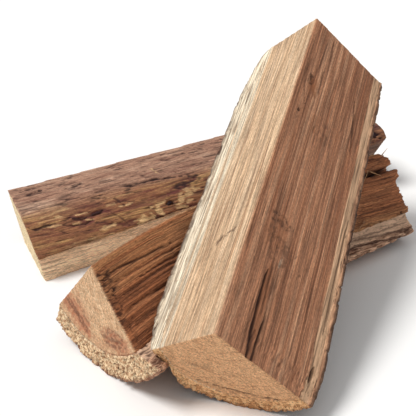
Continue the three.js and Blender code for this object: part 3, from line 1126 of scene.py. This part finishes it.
    def build(self) -> None:
        """Makes and dresses the wood, the bark and the splinters at the torn end."""
        wood = Blank("near_log_wood", self.place)
        ridge = wood.find_ridge()
        away = ridge.away(wood.start)
        near_end = wood.ends() * (wood.start[:, 1] < self.length / 2)
        wood.values["cut"] = near_end
        wood.values["tone"] = wood.beyond_ridge()
        reach = np.hypot(away[:, 0], away[:, 2])
        way = wood.start[:, 1]
        golden = (1 - smooth(reach, *self.golden_down)) * (1 - smooth(way, *self.golden_along))
        greyed = smooth(reach, *self.greyed_down) * smooth(way, *self.greyed_along)
        # painted highlight along the ridge edge, laid into the pale attribute
        ridge_highlight = 1 - smooth(reach, *self.ridge_highlight)
        wood.values["pale"] = np.maximum(np.maximum(0.9 * ridge_highlight, 0.5 * golden), 0.8 * greyed)
        wood.seat("near_log_bark")
        wood.carve(self.faces, 1 - wood.ends())
        wood.carve(self.ends, near_end)
        wood.mark(self.marks)
        self.wear(wood)
        dressed = self.wood.material()
        wood.finish("near_log_wood_carved", dressed)
        self.raise_splinters(dressed)
        dress_bark("near_log_bark", self, ridge, self.cork)

    def raise_splinters(self, material: bpy.types.Material) -> None:
        """Makes the loose slivers off the torn end and the split face, as one mesh of thin needles."""
        work = bmesh.new()
        for root, tip, thick in self.splinters:
            start, way = Vector(root), Vector(tip) - Vector(root)
            sizes = {"radius1": thick, "radius2": thick * self.splinter_tip, "depth": way.length}
            made = bmesh.ops.create_cone(work, cap_ends=True, segments=6, **sizes)
            turn = way.to_track_quat("Z", "X").to_matrix().to_4x4()
            flat = Matrix.Diagonal((*self.splinter_breadth, 1, 1))
            seat = Matrix.Translation(start + way / 2) @ turn @ flat
            bmesh.ops.transform(work, matrix=seat, verts=made["verts"])
        bmesh.ops.recalc_face_normals(work, faces=work.faces)
        mesh = bpy.data.meshes.new("near_log_splinters")
        work.to_mesh(mesh)
        work.free()
        carry(mesh, "grain", rows_of(mesh.vertices, "co"))
        carry(mesh, "pale", np.full(len(mesh.vertices), self.splinter_paleness))
        mesh.transform(self.place.matrix())
        mesh.materials.append(material)
        piece = linked("near_log_splinters", mesh)
        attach(piece, "root")
        log.info("%s: %d faces", piece.name, len(mesh.polygons))

    def wear(self, piece: Blank) -> None:
        """Pulls the wood's far end out into the steps and the cleft that the tear left, and paints shade into
        the cleft; the bark stays.
        """
        if "bark" in piece.node:
            return
        away = piece.ridge.away(piece.start)
        way = piece.start[:, 1]
        right, up = self.tear_along_face
        down = away[:, 0] * right + away[:, 2] * up
        under = away[:, 0] * up - away[:, 2] * right
        ragged = sum(
            reach * wavering(piece.start, (breadth, self.fray_length, breadth), seed)
            for breadth, reach, seed in self.fray
        )
        share = smooth(way, self.length - self.torn_from, self.length)
        cleft = 1 - smooth(np.abs(down - self.cleft_down), 0.3 * self.cleft_width, self.cleft_width)
        cleft *= 1 - smooth(under, self.cleft_depth - 3, self.cleft_depth)
        piece.points[:, 1] += (level_at(self.torn, down) + ragged) * share - cleft * share * self.cleft_length
        inward = cleft * smooth(way, self.length - self.torn_from, self.length - self.cleft_whole)
        piece.sink(inward * self.cleft_inward * (1 - piece.ends()))
        # painted shade inside the cleft, laid into the dark stain attribute
        dark = np.minimum(inward * self.cleft_shade, 1)
        piece.values["dark"] = np.maximum(piece.values["dark"], dark)


@dataclass
class BackLog:
    """The long log behind: a flat split strip along the ground under a round side of weathered inner bark."""

    place: LogFrame = LogFrame((-214.865, 34.933, 0), 29.6)
    length: float = 440
    darker_far_from: tuple[float, float] = (330, 400)
    crown_swell: Swell = (12, 70, 12)
    crown_waver: float = 6
    crown_edge: Place = (-22, 4)
    cracks: Scatter = Scatter(5, 80, (-62, 48), (6, 26), 2, (0.9, 1.5), 0.5, (0.45, 0.9))
    flakes: Scatter = Scatter(
        8, 54, (2, 52), (5, 20), 4, (1.4, 3.4), 0.3, (0.4, 0.8), (Stain.PALE, Stain.RED, Stain.RED)
    )
    faces: tuple[Relief, ...] = (
        Relief(2.6, 80, 0.3, seed=1.6),
        Relief(9, 160, 0.8, Form.STEP, seed=2.6),
        Relief(30, 140, 1.2, seed=3.6),
    )
    ends: tuple[Relief, ...] = (Relief(3, 3, 0.25, seed=5.6), Relief(1.9, 1.9, 0.2, seed=6.6))
    bast: tuple[Relief, ...] = (
        Relief(3, 40, 0.35, seed=1.7),
        Relief(8, 70, 0.7, Form.STEP, seed=2.7, steps=4),
        Relief(7, 60, 0.6, Form.CREASE, seed=3.8, crease=0.07),
        Relief(4, 14, 0.4, seed=4.7),
    )
    bast_marks: Marks = (
        gallery((-50.4, 17.7, -54.8, 32.2), 1.5, 1.2, 0.95),
        gallery((-43.4, 17.6, -45.7, 31.2), 1.5, 1.2, 0.95),
        gallery((-36.5, 58.7, -40.6, 73.4), 1.8, 1.2, 0.9),
        gallery((-58, 60, -60, 80), 1.3, 0.8, 0.7),
        gallery((-58.5, 108, -64, 124), 1.8, 1, 0.8),
        gallery((-11.7, 29.3, -11.8, 50.8, -14.5, 84.7), 1, 0.5, 0.5),
        gallery((12.9, -0.3, 17.4, 6.8, 16.1, 19.6, 17.7, 27.6), 2.6, 1.2, 0.9),
        gallery((14, 30, 16, 38, 12.4, 43.8), 1.8, 0.8, 0.7),
        gallery(
            (13.4, 44, 18.6, 50.3, 20.6, 60.4, 17.2, 69.8, 15.1, 79.4, 19.1, 85.4),
            5.5, 0.8, 0.8, Stain.RED,
        ),
        gallery((13.4, 44, 18.6, 50.3, 20.6, 60.4), 2.6, 1.3, 0.9),
        gallery((17.2, 66.8, 15.1, 79.4), 3.2, 1.3, 0.9),
        gallery((26.1, 40.2, 28.9, 55.5, 25.4, 67.3), 3, 1, 0.85, Stain.RED),
        gallery((26.1, 42, 29, 56, 25.4, 66), 1.3, 0.8, 0.8),
        gallery((-13.8, 118.4, -13.9, 127.7, -15.8, 142.3, -12.7, 158.9, -8.7, 177.7), 2.4, 1.3, 0.95),
        gallery((-16, 112, -12, 124), 3.2, 1, 0.9),
        gallery((17.8, 148.2, 11.1, 168.1, 0.6, 189.8), 7, 0.6, 0.85, Stain.RED),
        gallery((22, 100, 20, 125, 18, 150), 4, 0.4, 0.6, Stain.RED),
        gallery((36, 70, 44, 96, 42, 108), 3.5, 0.6, 0.7, Stain.RED),
        Patch(K, (30.8, 150.2), (3.6, 4.4), 3, 1, edge=0.8),
        gallery((48, 110, 44, 119, 46, 130), 6.5, 0.8, 0.95, Stain.PALE),
        gallery((45, 138, 38, 135, 29, 137), 4.2, 0.8, 0.9, Stain.PALE),
        gallery((30, 128, 27, 138, 25.5, 148), 2.6, 0.5, 0.75, Stain.PALE),
        gallery((34, 160, 25, 168, 18, 184), 7, 0.5, 0.7, Stain.PALE),
        gallery((36, 168, 33, 176), 4, 0.5, 0.6, Stain.PALE),
        gallery((10, 160, 5, 174, 6, 186), 5, 0.5, 0.9),
        gallery((-5, 186, -4, 196), 4, 0.5, 0.8),
        gallery((-38, 151, -23, 155), 0.9, -0.3, 0.7, Stain.PALE),
        gallery((0, 96, 8, 99, 16, 103), 1.6, 0.6, 0.7),
        gallery((20.6, 85, 30, 92, 47.7, 100), 1.3, 0.5, 0.6),
        gallery((-12, 86, -6, 80, -4, 70), 1.4, 0.5, 0.7),
        gallery((-52.2, 9.8, -54.6, 23.4), 1.6, 1, 0.9),
        gallery((-41.4, 8.5, -45.7, 31.2), 1.6, 1, 0.9),
        gallery((-45, 50.6, -45.8, 67.5), 1.5, 0.8, 0.8),
        Patch(K, (55, 60), (6, 46), 0.3, 0.75, Stain.PALE, 0.7, (4, 14)),
        Patch(K, (0, 30), (20, 34), 0, 0.45, Stain.PALE, 0.8, (4, 24)),
        gallery((52.5, 100, 51, 118, 47.9, 141.6, 45.1, 164.6), 1.5, 1.2, 0.9),
        gallery((52, 20, 56, 60, 54, 96), 1.2, 0.6, 0.5),
        Patch(K, (4.9, 426), (6, 5.5), 3, 1, edge=0.8),
        Patch(K, (13.3, 431), (3, 3), 2.4, 0.9),
        Patch(K, (4, 412), (30, 40), 0, 0.3, Stain.RED, 0.6, (3, 6), edge=0.9),
        Patch(K, (4, 412), (30, 40), 0, 0.35, grit=0.8, grain=(3, 6), edge=0.9),
    )

    wood: WoodFinish = WoodFinish(
        "back log split wood",
        left=((0.34, 0.20, 0.13), (0.25, 0.13, 0.085), (0.15, 0.07, 0.045)),
        # the strip's bright colours are partly its pale wood and partly painted light for a face turned down
        # from the light
        right=((1, 0.73, 0.48), (0.95, 0.65, 0.42), (0.76, 0.47, 0.29)),
        line=(0.24, 0.12, 0.07),
        sapwood=(0.72, 0.55, 0.38),
        sawn=((0.96, 0.80, 0.53), (0.86, 0.68, 0.42), (0.66, 0.46, 0.25)),
        red=(0.30, 0.10, 0.06),
        dark=(0.06, 0.025, 0.02),
        pith=(40, -8),
        saw_turn=90,
        seed=21,
        lines=0.35,
    )
    skin: BastFinish = BastFinish(
        "back log inner bark",
        strips=((0.54, 0.30, 0.125), (0.34, 0.15, 0.073), (0.18, 0.06, 0.042)),
        crown=((0.60, 0.38, 0.27), (0.44, 0.245, 0.165), (0.25, 0.115, 0.08)),
        purple=(0.13, 0.03, 0.035),
        flake=(0.84, 0.56, 0.28),
        dark=(0.025, 0.01, 0.012),
        seed=31,
    )

    def build(self) -> None:
        """Makes and dresses the wood and the inner bark on it."""
        wood = Blank("back_log_wood", self.place)
        ends = wood.ends()
        wood.values["cut"] = ends * (wood.start[:, 1] < self.length / 2)
        # the far end takes the darker palette
        far = smooth(wood.start[:, 1], *self.darker_far_from)
        # faces turned to the log's right take the bright strip palette, partly painted light; faces turned
        # the other way take the dark one
        wood.values["tone"] = smooth(wood.start_normals[:, 0], -0.2, 0.2) * (1 - far)
        wood.carve(self.faces, (1 - ends) * (wood.start_normals[:, 2] > -0.5))
        wood.carve(self.ends, ends)
        wood.finish("back_log_wood_carved", self.wood.material())
        bast = Blank("back_log_inner_bark", self.place)
        lowness = bast.start[:, 0] - bast.start[:, 2]
        lowness += self.crown_waver * wavering(bast.start, self.crown_swell, 4.4)
        bast.values["tone"] = smooth(lowness, *self.crown_edge)
        bast.carve(self.bast, 1 - bast.ends())
        bast.mark(self.bast_marks + self.cracks.marks() + self.flakes.marks())
        bast.finish("back_log_inner_bark_carved", self.skin.material())


def dress_bark(node: str, owner: "FrontLog | NearLog", ridge: Ridge, finish: CorkFinish) -> None:
    """Makes one log's bark: furrows outside, crumbs and pits on its sawn rims, fibres on its split edges.

    Args:
        node: The bark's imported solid.
        owner: The log it belongs to, which gives its place, thickness, reliefs and marks.
        ridge: The log's ridge.
        finish: What the bark is dressed in.
    """
    bark = Blank(node, owner.place)
    bark.ridge = ridge
    depth = distance_to(node.replace("bark", "wood"), owner.place, bark.start) / owner.bark_thickness
    bark.values["tone"] = bark.beyond_ridge()
    ends = bark.ends()
    outer = smooth(depth, *SKIN_DEPTH) * (1 - ends)
    bark.values["depth"] = depth
    right, up, radius = owner.bark_ring
    out = np.hypot(bark.start[:, 0] - right, bark.start[:, 2] - up)
    out += CRUST_WAVER * wavering(bark.start, (5, 9, 5), 2.2)
    bark.values["crust"] = smooth(out, radius - CRUST_BREADTH[0], radius - CRUST_BREADTH[1])
    bark.values["cut"] = ends
    height = bark.start[:, 2] + owner.place.corner[2]
    shown_edge = smooth(height, *EDGE_SHOWN_FROM) * bark.values["tone"] if owner.place.slope == 0 else 0
    bark.values["skin"] = outer * (1 - shown_edge)
    bark.seat(node.replace("bark", "wood"))
    bark.sink(-owner.bark_proud * smooth(depth, *FURROW_DEPTH))
    bark.carve(owner.furrows, smooth(depth, *FURROW_DEPTH))
    bark.carve(owner.crumbs, ends)
    bark.carve(owner.faces, (1 - ends) * (1 - outer))
    bark.mark(owner.bark_marks)
    owner.wear(bark)
    bark.finish(node + "_carved", finish.material())


# --- The studio ---


@dataclass(frozen=True)
class Studio:
    """A pale floor, a soft light from the upper left, a very wide one overhead, a sky and the camera."""

    floor_radius: float = 6
    floor_colour: Colour = (0.97, 0.97, 0.97)
    floor_roughness: float = 0.9
    floor_gloss: float = 0.1
    light_from: tuple[float, float, float] = (-0.56, -0.06, 0.82)
    light_spread: float = 24
    light_strength: float = 2.46
    light_colour: Colour = (1, 0.985, 0.96)
    top_spread: float = 110
    top_strength: float = 0.6
    sky: Colour = (1, 1, 1)
    sky_strength: float = 0.28
    camera_at: tuple[float, float, float] = (-0.00616, -0.7818, 0.4843)
    camera_to: tuple[float, float, float] = (-0.00616, 0.00623, 0.060)
    camera_roll: float = 0.66
    lens: float = 76.5
    sensor: float = 36

    def build(self) -> None:
        """Makes the floor, the lights and the camera."""
        self.lay_floor()
        self.light()
        self.place_camera()
        bpy.context.scene.view_settings.view_transform = "Standard"

    def lay_floor(self) -> None:
        """Lays a wide round floor at height nought."""
        work = bmesh.new()
        bmesh.ops.create_circle(work, cap_ends=True, segments=64, radius=self.floor_radius)
        mesh = bpy.data.meshes.new("floor")
        work.to_mesh(mesh)
        work.free()
        floor = linked("floor", mesh)
        s = Sketch("pale floor")
        s.feed(s.shader.inputs["Base Color"], self.floor_colour)
        s.shader.inputs["Roughness"].default_value = self.floor_roughness
        s.shader.inputs["Specular IOR Level"].default_value = self.floor_gloss
        mesh.materials.append(s.material)

    def hang(self, name: str, way: Vector, spread: float, strength: float) -> None:
        """Hangs one wide soft light.

        Args:
            name: The light's name.
            way: Where it shines from.
            spread: How wide it looks from the floor, in degrees.
            strength: How bright it is.
        """
        lamp = bpy.data.lights.new(name, "SUN")
        lamp.angle = math.radians(spread)
        lamp.energy = strength
        lamp.color = self.light_colour
        holder = linked(name, lamp)
        holder.location = way
        holder.rotation_mode = "QUATERNION"
        holder.rotation_quaternion = (-way).to_track_quat("-Z", "Y")

    def light(self) -> None:
        """Hangs the two soft lights and sets the sky."""
        self.hang("side light", Vector(self.light_from).normalized(), self.light_spread, self.light_strength)
        self.hang("top light", Vector((0, 0, 1)), self.top_spread, self.top_strength)
        world = bpy.data.worlds.new("even sky")
        world.use_nodes = True
        sky = world.node_tree.nodes["Background"]
        sky.inputs["Color"].default_value = (*self.sky, 1)
        sky.inputs["Strength"].default_value = self.sky_strength
        bpy.context.scene.world = world

    def place_camera(self) -> None:
        """Sets up the camera and makes it the scene's."""
        data = bpy.data.cameras.new("camera")
        data.lens = self.lens
        data.sensor_width = self.sensor
        camera = linked("camera", data)
        camera.location = self.camera_at
        camera.rotation_mode = "QUATERNION"
        look = (Vector(self.camera_to) - Vector(self.camera_at)).to_track_quat("-Z", "Y")
        camera.rotation_quaternion = look @ Quaternion((0, 0, 1), math.radians(self.camera_roll))
        bpy.context.scene.camera = camera


def main() -> None:
    """Builds the studio and the three logs, and reports each piece."""
    logging.basicConfig(level=logging.INFO, format="%(name)s: %(message)s")
    Studio().build()
    for part in (BackLog(), NearLog(), FrontLog()):
        part.build()
        log.info("%s is done", type(part).__name__)


if __name__ == "__main__":
    main()
